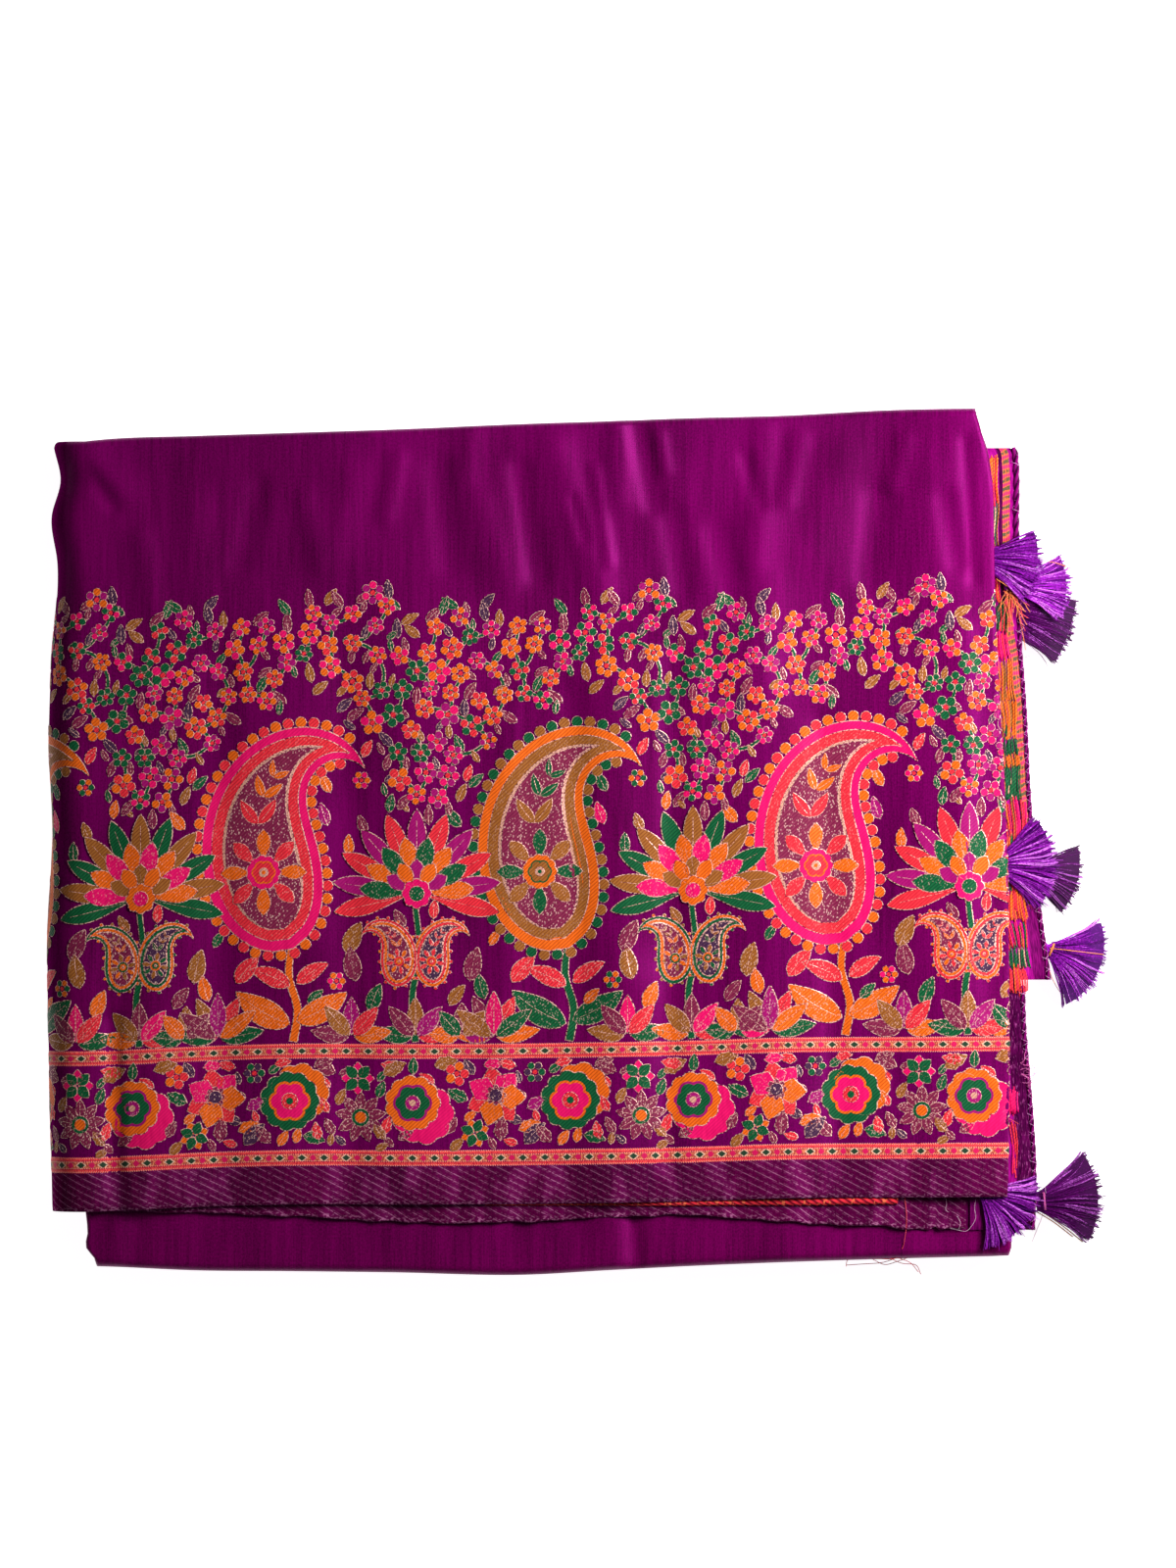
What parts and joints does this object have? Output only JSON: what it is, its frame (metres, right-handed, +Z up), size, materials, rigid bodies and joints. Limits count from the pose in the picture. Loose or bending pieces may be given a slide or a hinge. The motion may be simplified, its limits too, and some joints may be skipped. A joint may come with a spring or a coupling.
{
  "type": "folded saree",
  "caption": "Woven silk saree folded into a flat bundle: deep flowered border on the top layer, one rounded side where the cloth turns under, tasselled end standing out at the other side.",
  "frame": {"origin": "on the surface it lies on, under the middle of the bundle's bounding box", "axes": "+Z up from the surface; +X along the cloth's length, towards the tasselled end; +Y across the cloth's width, from the border's selvedge to the top fold"},
  "size_m": [0.366, 0.2984, 0.0246],
  "materials": {
    "silk_field": "satin purple silk",
    "silk_selvedge": "dark plum silk with fine silver lines",
    "silk_coral": "coral silk stripe",
    "silk_reverse": "loose coloured floats on the back of a brocade",
    "whipped_edge": "twisted dark purple thread",
    "tassel_violet": "glossy violet thread",
    "tassel_dark": "glossy dark violet thread"
  },
  "bodies": {
    "root": {"front_panel": "silk_field", "back_panel": "silk_field", "inner_layers": "silk_field", "lower_fold": "silk_field", "second_selvedge": "silk_selvedge", "coral_roll": "silk_coral", "pallu_upper": "silk_reverse", "pallu_lower": "silk_reverse", "pallu_cord_upper": "whipped_edge", "pallu_cord_lower": "whipped_edge", "tassel_1": "tassel_violet", "tassel_2": "tassel_violet", "tassel_3": "tassel_dark", "tassel_4": "tassel_violet", "tassel_5": "tassel_dark", "tassel_6": "tassel_violet", "tassel_7": "tassel_violet", "tassel_8": "tassel_dark"}
  },
  "joints": []
}
